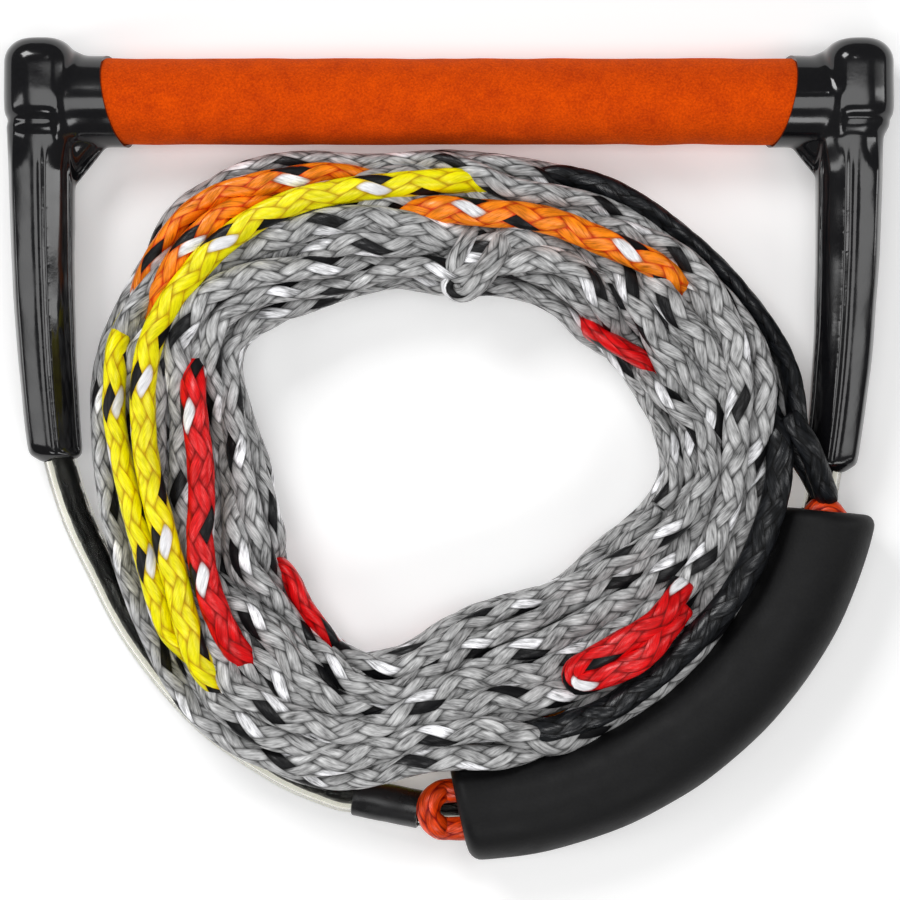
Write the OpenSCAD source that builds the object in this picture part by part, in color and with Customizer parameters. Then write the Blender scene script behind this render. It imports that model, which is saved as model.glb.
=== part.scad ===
// Water-ski tow rope handle lying flat, with its sectioned rope coiled over the bridle.
// Millimetres. X runs along the bar, Y from the bridle's bend to the bar, Z up from the ground.
// The origin is at the middle of the handle, on the ground.

/* [Whole handle] */
// Width over the two guards
overall_w = 330; // [300:1:400]
// Height from the outer side of the float to the top of the guards
overall_h = 305; // [290:1:370]

/* [Bar] */
// Outside diameter of the metal tube
tube_d = 25.4; // [20:0.1:27]
// Wall of the metal tube
tube_wall = 1.6; // [1:0.1:2.5]
// Outside diameter of the foam grip
grip_d = 32; // [30:0.5:34]
// Length of the foam grip
grip_l = 262; // [240:1:268]
// Thickness of an end plug's flange
plug_flange = 1.6; // [1:0.1:2]
// Length of an end plug inside the tube
plug_l = 2.6; // [1.5:0.1:3]
// Size of the stopper knot inside the tube
knot_d = 17; // [12:0.5:19]

/* [Guards] */
// How far a guard stands out past the end of the tube
guard_end = 5; // [4:0.5:8]
// Height of the boss above the bar's axis
boss_top = 23; // [20:0.5:26]
// Width of the boss
boss_w = 27; // [24:0.5:32]
// Thickness of the boss
boss_t = 38; // [36:1:44]
// Rounding of the boss
boss_r = 12; // [8:0.5:13]
// Wall of the collar round the grip
collar_wall = 1.1; // [0.8:0.1:3]
// Reach of the collar from the guard's outer end, at the bar's axis
collar_l = 41.5; // [38:0.5:60]
// Slant of the collar's mouth in degrees
collar_slant = 15; // [0:1:20]
// Length of a leg below the bar's axis
leg_l = 136; // [110:1:160]
// Width of a leg at its root
leg_w = 26; // [24:0.5:30]
// Width of a leg at its end
leg_end_w = 20; // [18:0.5:24]
// Thickness of a leg at its root
leg_t = 29; // [24:0.5:32]
// Thickness of a leg at its end
leg_end_t = 17; // [15:0.5:20]
// How far a leg's end sags towards the ground
leg_sag = 5; // [0:0.5:8]
// How far the left leg's end leans in
lean_left = 5; // [2:0.5:9]
// How far the right leg's end leans in
lean_right = 7; // [2:0.5:9]

/* [Bridle] */
// Diameter of the bridle rope and of the tail loop
rope_d = 8.6; // [7:0.1:9]
// Outside diameter of the clear hose
hose_d = 12.4; // [11:0.1:12.6]
// Wall of the clear hose
hose_wall = 1.4; // [1:0.1:1.6]
// Outside diameter of the sleeve on the bridle's bend
sleeve_d = 14.4; // [13.8:0.1:16]
// Length of the sleeve
sleeve_l = 25; // [15:1:26]

/* [Float] */
// Outside diameter of the foam float
float_d = 38; // [34:0.5:38]
// Bore of the float
float_bore = 24.6; // [24:0.1:27]
// Bend radius of the float's axis
float_bend = 140; // [130:1:150]
// Angle that the float covers along its bend
float_sweep = 79; // [50:1:79]
// Angle from the X axis back to the float's upper end
float_rest = 12; // [12:0.5:20]

/* [Coil] */
// Height of the coiled rope
coil_h = 42; // [36:1:46]
// Gap between neighbouring turns of different sections
coil_gap = 0.6; // [0.2:0.1:1]

/* [Hidden] */

LEFT = -1;
RIGHT = 1;
fit_gap = 0.1;                                  // sliding clearance on the radius
soft_gap = 0.5;                                 // clearance round soft pieces that move past each other
bar_y = overall_h / 2 - boss_top;
bar_z = boss_t / 2;
tube_l = overall_w - 2 * guard_end;
tube_r = tube_d / 2;
grip_r = grip_d / 2;
hose_r = hose_d / 2;
rope_r = rope_d / 2;
drill_x = 17;                                   // the rope's hole, from the guard's outer end
drill_r = rope_r + 5 * fit_gap;
socket_from = 0.84;                             // where the hose starts inside a leg, as a share of its length
socket_shift = 1.5;                             // the hose lies this far inside the leg's middle line

// The float's bend: its centre, and its axis a float's radius above the ground.
bend_c = [3, -overall_h / 2 + float_bend + float_d / 2];
float_z = float_d / 2;
float_from = -float_rest - float_sweep;
float_keep = 1.8;                               // the coil lies this far from the float

// What lies in the float's bore, off its axis: the hose below, the tail's two strands above.
hose_in_bore = float_z - float_bore / 2 + hose_r + soft_gap;
tail_in_bore = float_z + 6;
tail_half = rope_r + 0.1;

// ---- Curves and swept tubes ----

function unit(v) = v / norm(v);
function smooth(t) = let (c = min(1, max(0, t))) c * c * (3 - 2 * c);
function on_bend(angle, out, z) =
    [bend_c.x + (float_bend + out) * cos(angle), bend_c.y + (float_bend + out) * sin(angle), z];

// A point of the smooth curve through four neighbouring points.
function spline_at(a, b, c, d, t) =
    0.5 * (2 * b + (c - a) * t + (2 * a - 5 * b + 4 * c - d) * t * t + (3 * b - a - 3 * c + d) * t * t * t);

// A smooth open curve through points p, with n steps between each pair.
function spline(p, n) = let (m = len(p) - 1) [
    for (i = [0 : m - 1], k = [0 : n - 1])
        spline_at(p[max(0, i - 1)], p[i], p[i + 1], p[min(m, i + 2)], k / n),
    p[m]
];

// One ring of a swept tube: a circle of radius r square to the path p at point i.
function ring(p, i, r, sides, closed) =
    let (
        n = len(p),
        before = closed ? p[(i + n - 1) % n] : p[max(0, i - 1)],
        after = closed ? p[(i + 1) % n] : p[min(n - 1, i + 1)],
        ahead = unit(after - before),
        side = unit(cross(ahead, [0, 0, 1])),
        up = cross(side, ahead)
    )
    [for (k = [0 : sides - 1]) p[i] + r * (cos(360 * k / sides) * side + sin(360 * k / sides) * up)];

// Quads that join ring i of one strip of points to the next; start is the strip's first index.
function skin(start, count, sides, wrap, flip) = [
    for (i = [0 : wrap ? count - 1 : count - 2], k = [0 : sides - 1])
        let (
            a = start + i * sides + k,
            b = start + i * sides + (k + 1) % sides,
            c = start + ((i + 1) % count) * sides + (k + 1) % sides,
            d = start + ((i + 1) % count) * sides + k
        )
        flip ? [d, c, b, a] : [a, b, c, d]
];

module rod(p, r, sides = 10) {
    n = len(p);
    polyhedron(
        points = [for (i = [0 : n - 1]) each ring(p, i, r, sides, false)],
        faces = concat(
            skin(0, n, sides, false, false),
            [[for (k = [sides - 1 : -1 : 0]) k], [for (k = [0 : sides - 1]) (n - 1) * sides + k]]
        ),
        convexity = 8
    );
}

module closed_rod(p, r, sides = 10) {
    n = len(p);
    polyhedron(
        points = [for (i = [0 : n - 1]) each ring(p, i, r, sides, true)],
        faces = skin(0, n, sides, true, false),
        convexity = 8
    );
}

module pipe(p, r_out, r_in, sides = 10) {
    n = len(p);
    inner = n * sides;
    last = (n - 1) * sides;
    polyhedron(
        points = concat(
            [for (i = [0 : n - 1]) each ring(p, i, r_out, sides, false)],
            [for (i = [0 : n - 1]) each ring(p, i, r_in, sides, false)]
        ),
        faces = concat(
            skin(0, n, sides, false, false),
            skin(inner, n, sides, false, true),
            [for (k = [0 : sides - 1]) [inner + k, inner + (k + 1) % sides, (k + 1) % sides, k]],
            [for (k = [0 : sides - 1])
                [last + k, last + (k + 1) % sides, inner + last + (k + 1) % sides, inner + last + k]]
        ),
        convexity = 8
    );
}

// ---- Bar ----

module bar_tube() {
    color("silver")
    difference() {
        translate([0, bar_y, bar_z]) rotate([0, 90, 0])
            cylinder(h = tube_l, r = tube_r, center = true, $fn = 64);
        translate([0, bar_y, bar_z]) rotate([0, 90, 0])
            cylinder(h = tube_l + 2, r = tube_r - tube_wall, center = true, $fn = 64);
        for (side = [LEFT, RIGHT]) rope_drilling(side);
    }
}

module grip_sleeve() {
    color([0.87, 0.29, 0.02])
    translate([0, bar_y, bar_z])
    rotate([0, 90, 0])
    difference() {
        cylinder(h = grip_l, r = grip_r, center = true, $fn = 96);
        cylinder(h = grip_l + 2, r = tube_r, center = true, $fn = 96);
    }
}

module end_plug(side) {
    color([0.12, 0.12, 0.13])
    translate([side * tube_l / 2, bar_y, bar_z])
    rotate([0, side * 90, 0]) {
        cylinder(h = plug_flange, r = tube_r, $fn = 64);
        translate([0, 0, -plug_l]) cylinder(h = plug_l, r = tube_r - tube_wall, $fn = 64);
    }
}

// ---- Guards ----

// The middle line of a leg at share t of its length: from the outer end, the bar's axis and the bar's height.
function leg_root(side) = side == LEFT ? 13.7 : 16.3;
function leg_lean(side) = side == LEFT ? lean_left : lean_right;
function leg_at(side, t) = [leg_root(side) + leg_lean(side) * t * t * t, -(leg_l + 2 * side) * t, -leg_sag * t * t];
function mix(a, b, t) = a + (b - a) * t;

// The same, in the part's frame, moved in by shift.
function leg_point(side, t, shift) = let (p = leg_at(side, t))
    [side * (overall_w / 2 - p.x - shift), bar_y + p.y, bar_z + p.z];

// A guard's sections from its top down, each [x, y, z, half width, half thickness].
function guard_rows(side) = concat(
    [for (a = [8, 28, 50, 72]) let (k = boss_r * (1 - sin(a)))
        [boss_w / 2, boss_top - boss_r * (1 - cos(a)), 0, boss_w / 2 - k, boss_t / 2 - k]],
    [
        [boss_w / 2, 2, 0, boss_w / 2, boss_t / 2],
        [boss_w / 2, -tube_r - 1, 0, boss_w / 2, leg_t / 2 + 2]
    ],
    [for (t = [0.18, 0.3, 0.4, 0.5, 0.65, 0.8, 0.9, 0.97])
        concat(leg_at(side, t), [mix(leg_w, leg_end_w, t) / 2, mix(leg_t, leg_end_t, t) / 2])],
    [concat(leg_at(side, 1), [leg_end_w / 2 - 3, leg_end_t / 2 - 3])]
);

// A rounded rectangle between a square and an ellipse, as n points round the origin.
function squircle(w, d, n) = [for (k = [0 : n - 1]) let (c = cos(360 * k / n), s = sin(360 * k / n))
    [w * sign(c) * pow(abs(c), 0.78), d * sign(s) * pow(abs(s), 0.78)]];

module boss_and_leg(side) {
    rows = guard_rows(side);
    n = len(rows);
    sides = 24;
    polyhedron(
        points = [for (r = rows, q = squircle(r[3], r[4], sides)) [r[0] + q.x, r[1], r[2] + q.y]],
        faces = concat(
            skin(0, n, sides, false, true),
            [[for (k = [0 : sides - 1]) k], [for (k = [sides - 1 : -1 : 0]) (n - 1) * sides + k]]
        ),
        convexity = 6
    );
}

// The web in the corner between the collar and the leg.
module corner_web() {
    hull() {
        translate([22, -24, 0]) sphere(r = 8, $fn = 24);
        translate([34, -9, 0]) sphere(r = 7.5, $fn = 24);
    }
}

module collar() {
    difference() {
        translate([boss_w / 2, 0, 0]) rotate([0, 90, 0])
            cylinder(h = collar_l + 10 - boss_w / 2, r = grip_r + collar_wall, $fn = 96);
        translate([collar_l, 0, 0]) rotate([0, 0, collar_slant])
            translate([0, -50, -50]) cube([80, 100, 100]);
    }
}

module guard(side) {
    socket = leg_point(side, socket_from, socket_shift);
    mouth = leg_point(side, 1, socket_shift);
    color([0.08, 0.08, 0.09])
    difference() {
        translate([side * overall_w / 2, bar_y, bar_z])
            mirror([side == RIGHT ? 1 : 0, 0, 0]) {
                boss_and_leg(side);
                collar();
                corner_web();
            }
        translate([0, bar_y, bar_z]) rotate([0, 90, 0]) {
            cylinder(h = tube_l + 2 * plug_flange, r = tube_r, center = true, $fn = 96);
            cylinder(h = grip_l, r = grip_r, center = true, $fn = 96);
        }
        rope_drilling(side);
        bore_between(socket, mouth + 3 * unit(mouth - socket), hose_r + fit_gap);
    }
}

// The rope's way from the middle of the bar to the hose.
module rope_drilling(side) {
    bore_between(knot_at(side), leg_point(side, socket_from, socket_shift), drill_r);
}

// A straight round bore from a to b.
module bore_between(a, b, r) {
    v = b - a;
    translate(a)
        rotate([0, acos(v.z / norm(v)), atan2(v.y, v.x)])
            cylinder(h = norm(v), r = r, $fn = 48);
}

// ---- Bridle: one rope from guard to guard, in clear hose, with a sleeve over its bend ----

// The sleeve lies on the bend, just before the float, and rises a little towards it.
sleeve_at = float_from - 9.6;
sleeve_mid = on_bend(sleeve_at, 0.7, 11.4);
sleeve_axis = unit([-sin(sleeve_at), cos(sleeve_at), 0.13]);
sleeve_a = sleeve_mid - sleeve_axis * sleeve_l / 2;
sleeve_b = sleeve_mid + sleeve_axis * sleeve_l / 2;

// The left run lies on the ground under the coil's edge.
left_run = [
    leg_point(LEFT, 1, socket_shift),
    [-139, -24, 11],
    [-131, -42, 7.5],
    [-116, -70, 6.4],
    [-92, -99, 6.4],
    [-64, -119, 6.5],
    sleeve_a - 8 * sleeve_axis
];
// The right run climbs into the float and follows its bore to the right leg.
function right_out(angle) = -2.2 * smooth((angle + 60) / 40);
right_run = [
    for (angle = [float_from - 1 : 5 : -float_rest + 1]) on_bend(angle, right_out(angle), hose_in_bore)
];

function in_leg(side, t) = leg_point(side, t, socket_shift);
left_line = concat([in_leg(LEFT, socket_from), in_leg(LEFT, 0.93)], spline(left_run, 5), [sleeve_a]);
right_line = concat([sleeve_b], right_run, [in_leg(RIGHT, 1), in_leg(RIGHT, 0.93), in_leg(RIGHT, socket_from)]);

module hose(p) {
    color([0.80, 0.80, 0.76, 0.5]) pipe(p, hose_r, hose_r - hose_wall);
}

module bridle_hose_left() {
    hose(concat(left_line, [sleeve_mid - 0.5 * sleeve_axis]));
}

module bridle_hose_right() {
    hose(concat([sleeve_mid + 0.5 * sleeve_axis], right_line));
}

// From inside the stopper knot, down the leg and along the hose to the middle of the sleeve.
function knot_at(side) = [side * (overall_w / 2 - drill_x), bar_y, bar_z];
function neck_at(side) = knot_at(side) + knot_d / 2 * unit(in_leg(side, socket_from) - knot_at(side));

module bridle_rope_left() {
    color([0.08, 0.08, 0.09]) rod(concat([neck_at(LEFT)], left_line, [sleeve_mid]), rope_r);
}

module bridle_rope_right() {
    color([0.08, 0.08, 0.09]) rod(concat([sleeve_mid], right_line, [neck_at(RIGHT)]), rope_r);
}

module bridle_knot(side) {
    color([0.08, 0.08, 0.09]) translate(knot_at(side)) sphere(r = knot_d / 2, $fn = 48);
}

module apex_sleeve() {
    color([0.06, 0.06, 0.07])
    difference() {
        bore_between(sleeve_a, sleeve_b, sleeve_d / 2);
        bore_between(sleeve_a - sleeve_axis, sleeve_b + sleeve_axis, hose_r + 2 * fit_gap);
    }
}

// ---- Float and the tail loop through it ----

module float() {
    color([0.14, 0.14, 0.14])
    translate([bend_c.x, bend_c.y, float_z])
    rotate([0, 0, float_from])
    rotate_extrude(angle = float_sweep, $fn = 180)
    translate([float_bend, 0])
    difference() {
        circle(d = float_d, $fn = 72);
        circle(d = float_bore, $fn = 72);
    }
}

// A closed loop of rope: two strands side by side in the bore, and an eye at each end.
eye_half = 7;
eye_z = float_z + 2.6;
tail_from = float_from - 0.5;
tail_step = 6;
tail_count = floor((float_sweep + 1) / tail_step);
tail_to = tail_from + tail_step * tail_count;
function eye_share(angle) = smooth((float_from + 13 - angle) / 9);
function tail_point(angle, side) =
    on_bend(angle, side * mix(tail_half, eye_half, eye_share(angle)), mix(tail_in_bore, eye_z, eye_share(angle)));
tail_route = concat(
    [for (i = [0 : tail_count]) tail_point(tail_from + i * tail_step, 1)],
    let (c = on_bend(tail_to, -0.5, tail_in_bore))
    [for (k = [45 : 45 : 135]) c + tail_half * [cos(k - float_rest), sin(k - float_rest), 0]],
    [for (i = [tail_count : -1 : 0]) tail_point(tail_from + i * tail_step, -1)],
    let (c = on_bend(tail_from, 0, eye_z))
    [for (k = [30 : 30 : 150]) c + [-eye_half * sin(k), eye_half * cos(k), 3 * sin(k)]]
);

module tail_loop() {
    color([0.92, 0.33, 0.05]) closed_rod(tail_route, rope_r);
}

// ---- Coil: every rope section lies in its own band of one thick ring ----

coil_c = [1, -7];
coil_step = 10;
// Inner and outer edge of the coil every 30 degrees, from the X axis.
coil_in = [76, 71, 67, 62, 72, 76, 65, 66, 74, 52, 49, 56];
coil_out = [131, 131, 124, 119, 136, 138, 131, 127, 131, 123, 130, 128];

// A smooth closed curve through the values v, at an angle in degrees.
function around(v, angle) =
    let (n = len(v), s = (angle + 720) % 360 * n / 360, i = floor(s), t = s - i)
    spline_at(v[(i + n - 1) % n], v[i % n], v[(i + 1) % n], v[(i + 2) % n], t);

// How far a ray from the coil's centre runs before it meets the circle of radius r round point c.
function reach(angle, c, r) =
    let (v = coil_c - c, b = v.x * cos(angle) + v.y * sin(angle))
    -b + sqrt(b * b - v.x * v.x - v.y * v.y + r * r);

// Clear of the bar above the coil.
function bar_limit(angle) = sin(angle) > 0.5 ? (bar_y - grip_r - soft_gap - coil_c.y) / sin(angle) : 1000;

// Clear of the float, the sleeve and the tail's eye.
function float_limit(angle, z) =
    let (keep = float_d / 2 + float_keep, rise = abs(z - float_z), a = (angle + 540) % 360 - 180)
    rise < keep && a > float_from - 17 && a < 8
        ? reach(angle, bend_c, float_bend - sqrt(keep * keep - rise * rise)) : 1000;

// Clear of the bridle's left run.
function hose_limit(angle, z) =
    let (a = (angle + 720) % 360)
    a > 180 && a < 264 && z < hose_d + 4 + 8 * smooth((205 - a) / 15)
        ? 121 + 0.0018 * pow(262 - a, 2) : 1000;

coil_round = 0.85;                              // how round the ring's section is: 0 a square, 1 an ellipse

// A point of the ring: x from -1 at its hole to 1 outside, y from -1 at the ground to 1 at the crown.
function coil_point(angle, x, y) =
    let (
        near = around(coil_in, angle),
        far = around(coil_out, angle),
        z = coil_h / 2 * (1 + y * sqrt(1 - coil_round * x * x / 2)),
        r = (near + far) / 2 + (far - near) / 2 * x * sqrt(1 - coil_round * y * y / 2),
        clear = min(r, bar_limit(angle), float_limit(angle, z), hose_limit(angle, z))
    )
    [coil_c.x + clear * cos(angle), coil_c.y + clear * sin(angle), z];

// The lines of the section's grid. Neighbouring bands share them, so their faces match.
inner_x = -0.6;
middle_x = 0;
outer_x = 0.4;
floor_y = -0.4;
crown_y = 0.5;
grid_x = [-1, -0.8, inner_x, -0.3, middle_x, 0.2, outer_x, 0.6, 0.8, 1];
grid_y = [-1, -0.7, floor_y, -0.1, 0.2, crown_y, 0.75, 1];
coil_slack = coil_gap / coil_h;

// The grid's lines from a to b, with the end ones drawn in by the slack.
function lines(grid, a, b) =
    [for (q = grid) if (q >= a && q <= b) min(b - coil_slack, max(a + coil_slack, q))];

// The outline of a band, as points of the square section.
function band_outline(x0, x1, y0, y1) =
    let (xs = lines(grid_x, x0, x1), ys = lines(grid_y, y0, y1), m = len(xs) - 1, n = len(ys) - 1)
    concat(
        [for (i = [0 : m - 1]) [xs[i], ys[0]]],
        [for (i = [0 : n - 1]) [xs[m], ys[i]]],
        [for (i = [m : -1 : 1]) [xs[i], ys[n]]],
        [for (i = [n : -1 : 1]) [xs[0], ys[i]]]
    );

// A band of the ring from angle a0 to a1; a whole turn closes on itself.
module coil_band(x0, x1, y0, y1, a0 = 0, a1 = 360) {
    outline = band_outline(x0, x1, y0, y1);
    sides = len(outline);
    whole = a1 - a0 == 360;
    count = (a1 - a0) / coil_step + (whole ? 0 : 1);
    polyhedron(
        points = [for (i = [0 : count - 1], q = outline) coil_point(a0 + i * coil_step, q.x, q.y)],
        faces = concat(
            skin(0, count, sides, whole, true),
            whole ? [] : [[for (k = [0 : sides - 1]) k], [for (k = [sides - 1 : -1 : 0]) (count - 1) * sides + k]]
        ),
        convexity = 10
    );
}

red_eye_from = 300;                             // the red section's eye lies on the crown, lower right
red_eye_to = 330;
boat_loop_from = 60;                            // the tow-end loop is tucked in at the hole's upper edge
boat_loop_to = 110;

module grey_section_a() {
    color([0.62, 0.62, 0.62]) coil_band(-1, 1, -1, floor_y);
}

module grey_section_b() {
    color([0.58, 0.58, 0.58]) coil_band(inner_x, outer_x, floor_y, crown_y);
}

module grey_section_c() {
    color([0.66, 0.66, 0.66]) coil_band(outer_x, 1, crown_y, 1);
}

module boat_loop() {
    color([0.66, 0.66, 0.66]) coil_band(-1, inner_x, floor_y, 1, boat_loop_from, boat_loop_to);
}

module black_section() {
    color([0.10, 0.10, 0.12]) coil_band(outer_x, 1, floor_y, crown_y);
}

module red_section() {
    color([0.85, 0.03, 0.05]) coil_band(-1, inner_x, floor_y, 1, boat_loop_to, boat_loop_from + 360);
}

module orange_section() {
    color([0.98, 0.50, 0.08]) coil_band(inner_x, middle_x, crown_y, 1);
}

module yellow_section() {
    color([0.98, 0.92, 0.0]) coil_band(middle_x, outer_x, crown_y, 1, red_eye_to - 360, red_eye_from);
}

module red_eye() {
    color([0.85, 0.03, 0.05]) coil_band(middle_x, outer_x, crown_y, 1, red_eye_from, red_eye_to);
}

// The rope's first loop leaves the coil and lies over the tail's right eye.
hitch_route = spline([
    [131, 8, 35.5],
    [133, 1, 35],
    [135.5, -6, 34.6],
    [137.5, -12, 34.2],
    [138, -16.5, 33]
], 3);

module hitch_loop() {
    color([0.08, 0.08, 0.09]) rod(hitch_route, rope_r);
}

bar_tube();
grip_sleeve();
end_plug(LEFT);  // end_plug_left
end_plug(RIGHT);  // end_plug_right
guard(LEFT);  // guard_left
guard(RIGHT);  // guard_right
bridle_knot(LEFT);  // bridle_knot_left
bridle_knot(RIGHT);  // bridle_knot_right
bridle_rope_left();
bridle_rope_right();
bridle_hose_left();
bridle_hose_right();
apex_sleeve();
tail_loop();
float();
hitch_loop();
black_section();
yellow_section();
orange_section();
red_section();
red_eye();
grey_section_a();
grey_section_b();
grey_section_c();
boat_loop();
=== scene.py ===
"""A water-ski tow rope handle, lying flat with its sectioned rope coiled over the bridle."""

import math

import bmesh
import bpy
import numpy as np
from mathutils import Matrix, Vector, noise


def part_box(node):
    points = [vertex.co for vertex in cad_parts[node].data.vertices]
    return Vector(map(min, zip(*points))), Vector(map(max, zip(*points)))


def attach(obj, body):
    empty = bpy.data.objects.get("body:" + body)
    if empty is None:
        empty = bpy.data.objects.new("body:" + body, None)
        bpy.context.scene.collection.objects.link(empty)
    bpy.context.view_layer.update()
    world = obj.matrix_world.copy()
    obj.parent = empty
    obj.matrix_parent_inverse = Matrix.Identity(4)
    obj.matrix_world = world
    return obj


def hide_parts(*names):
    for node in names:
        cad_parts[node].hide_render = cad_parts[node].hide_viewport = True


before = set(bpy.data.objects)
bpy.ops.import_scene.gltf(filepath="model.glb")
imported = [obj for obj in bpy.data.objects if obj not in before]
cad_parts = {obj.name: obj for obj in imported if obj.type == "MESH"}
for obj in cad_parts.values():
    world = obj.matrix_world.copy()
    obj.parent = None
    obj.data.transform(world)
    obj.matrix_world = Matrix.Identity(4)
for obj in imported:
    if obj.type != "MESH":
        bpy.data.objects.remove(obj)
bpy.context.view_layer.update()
scene = bpy.context.scene
MM = 0.001

# ---- Table, camera and lights ----
# The handle lies on a white table, and the camera looks straight down at it. A broad soft box
# overhead draws the grey bands on the black vinyl, and smaller ones give the shapes their shade.
VIEW_WIDTH = 334.4 * MM
VIEW_HEIGHT = 1500 * MM
CROWN_LEVEL = 20 * MM


def linked(name, data):
    """An object of that data, in the scene."""
    thing = bpy.data.objects.new(name, data)
    scene.collection.objects.link(thing)
    return thing


def mesh_of(name, shape):
    """A bmesh as a mesh; the bmesh is freed."""
    mesh = bpy.data.meshes.new(name)
    shape.to_mesh(mesh)
    shape.free()
    return mesh


eye = bpy.data.cameras.new("camera")
eye.sensor_width = 36
eye.lens = eye.sensor_width * VIEW_HEIGHT / VIEW_WIDTH
eye.clip_start = 0.05
scene.camera = linked("camera", eye)
scene.camera.location = (0.4 * MM, 0, VIEW_HEIGHT + CROWN_LEVEL)
scene.view_settings.view_transform = "Standard"

table_top = bmesh.new()
bmesh.ops.create_grid(table_top, x_segments=1, y_segments=1, size=3)
table = linked("table", mesh_of("table", table_top))


def new_finish(name):
    """A material, its tree and its shader."""
    finish = bpy.data.materials.new(name)
    finish.use_nodes = True
    return finish, finish.node_tree, finish.node_tree.nodes["Principled BSDF"]


def feed(tree, node, values):
    """Links or sets a node's inputs."""
    for key, value in values.items():
        if isinstance(value, bpy.types.NodeSocket):
            tree.links.new(value, node.inputs[key])
        else:
            node.inputs[key].default_value = value


white, white_tree, paint = new_finish("table_white")
feed(white_tree, paint, {"Base Color": (0.93, 0.93, 0.93, 1), "Roughness": 0.6})
feed(white_tree, paint, {"Emission Color": (1, 1, 1, 1), "Emission Strength": 0.22})
table.data.materials.append(white)


def soft_box(name, place, size, radiance):
    """A lamp of one even brightness at place, turned to the handle."""
    lamp = bpy.data.lights.new(name, "AREA")
    lamp.shape = "RECTANGLE"
    lamp.size, lamp.size_y = size
    lamp.energy = radiance * math.pi * size[0] * size[1]
    box = linked(name, lamp)
    box.location = place
    box.rotation_euler = (-Vector(place)).to_track_quat("-Z", "Y").to_euler()
    box.visible_camera = False


soft_box("overhead_box", (0.0, -0.14, 1.95), (1.2, 0.9), 2.8)
soft_box("key_box", (-0.75, 1.0, 1.35), (0.6, 0.6), 11.0)
soft_box("right_box", (1.3, 0.1, 0.9), (0.3, 1.2), 4.5)
soft_box("left_box", (-1.3, -0.2, 0.9), (0.3, 1.2), 4.0)
soft_box("low_box", (0.2, -1.2, 1.1), (0.9, 0.4), 5.0)
soft_box("spark_box", (0.16, 0.7, 1.9), (0.05, 0.05), 60.0)

sky = bpy.data.worlds.new("studio")
sky.use_nodes = True
feed(sky.node_tree, sky.node_tree.nodes["Background"], {"Color": (1, 1, 1, 1), "Strength": 0.13})
scene.world = sky

# ---- Bar tube ----
# A drawn aluminium tube, 25.4 mm across, drilled near each end for the bridle rope. The grip and
# the guards cover all of it.
bar_low, bar_high = (np.array(corner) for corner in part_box("bar_tube"))
bar_middle = (bar_low + bar_high) / 2
tube_radius = (bar_high - bar_low)[2] / 2
tube_half = (bar_high - bar_low)[0] / 2


def nodes_of(tree):
    """Places nodes in a tree, each with the links and values of its inputs."""

    def place(kind, values=None, **settings):
        node = tree.nodes.new(kind)
        for key, value in settings.items():
            setattr(node, key, value)
        feed(tree, node, values or {})
        return node

    return place


def maths(tree):
    """Places Math nodes and gives their result."""
    place = nodes_of(tree)

    def run(operation, *values):
        return place("ShaderNodeMath", dict(enumerate(values)), operation=operation).outputs[0]

    return run


def group_of(name, inputs, outputs):
    """An empty node group with float, colour and vector sockets."""
    group = bpy.data.node_groups.new(name, "ShaderNodeTree")
    for way, sockets in (("INPUT", inputs), ("OUTPUT", outputs)):
        for socket, kind in sockets.items():
            group.interface.new_socket(socket, in_out=way, socket_type="NodeSocket" + kind)
    return group


def spread(place, grain, low, high):
    """Noise, most of which lies between 0.35 and 0.65, spread over low to high."""
    return place("ShaderNodeMapRange", {0: grain, 1: 0.35, 2: 0.65, 3: low, 4: high}).outputs[0]


def make_grain():
    """Fine grain and broad unevenness, each about 0 to 1, and a colour between two by both."""
    group = group_of(
        "surface_grain",
        {"Place": "Vector", "Fine Size": "Float", "Broad Size": "Float", "Light": "Color", "Dark": "Color"},
        {"Fine": "Float", "Broad": "Float", "Color": "Color"},
    )
    place, run = nodes_of(group), maths(group)
    given = place("NodeGroupInput").outputs

    def layer(size, detail):
        scale = run("DIVIDE", 1.0, size)
        values = {"Vector": given["Place"], "Scale": scale, "Detail": detail, "Roughness": 0.6}
        return place("ShaderNodeTexNoise", values).outputs[0]

    fine, broad = layer(given["Fine Size"], 3.0), layer(given["Broad Size"], 2.0)
    both = run("ADD", run("MULTIPLY", fine, 0.65), run("MULTIPLY", broad, 0.35))
    share = spread(place, both, 0.0, 1.0)
    colour = place("ShaderNodeMix", {0: share, 6: given["Dark"], 7: given["Light"]}, data_type="RGBA")
    place("NodeGroupOutput", {"Fine": fine, "Broad": broad, "Color": colour.outputs[2]})
    return group


surface_grain = make_grain()


def grained(name, light, dark, fine, broad, rough, bump, stretch=(1, 1, 1), **sockets):
    """A finish with grain: two colours, two grain sizes, a range of roughness and a bump depth."""
    finish, tree, shader = new_finish(name)
    place = nodes_of(tree)
    spot = place("ShaderNodeTexCoord").outputs["Object"]
    spot = place("ShaderNodeMapping", {"Vector": spot, "Scale": stretch}).outputs[0]
    values = {"Place": spot, "Fine Size": fine, "Broad Size": broad}
    values.update({"Light": (*light, 1), "Dark": (*dark, 1)})
    grain = place("ShaderNodeGroup", values, node_tree=surface_grain)
    roughness = spread(place, grain.outputs["Broad"], *rough)
    relief = place("ShaderNodeBump", {"Height": grain.outputs["Fine"], "Strength": 0.8, "Distance": bump})
    values = {"Base Color": grain.outputs["Color"], "Roughness": roughness, "Normal": relief.outputs[0]}
    values.update({key.replace("_", " "): value for key, value in sockets.items()})
    feed(tree, shader, values)
    return finish


drawn_aluminium = grained(
    "drawn_aluminium", (0.80, 0.81, 0.82), (0.62, 0.63, 0.65), 0.4 * MM, 6 * MM, (0.25, 0.4), 0.02 * MM,
    stretch=(0.03, 1, 1), Metallic=1.0,
)
for tube_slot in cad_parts["bar_tube"].material_slots:
    tube_slot.material = drawn_aluminium

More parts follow.
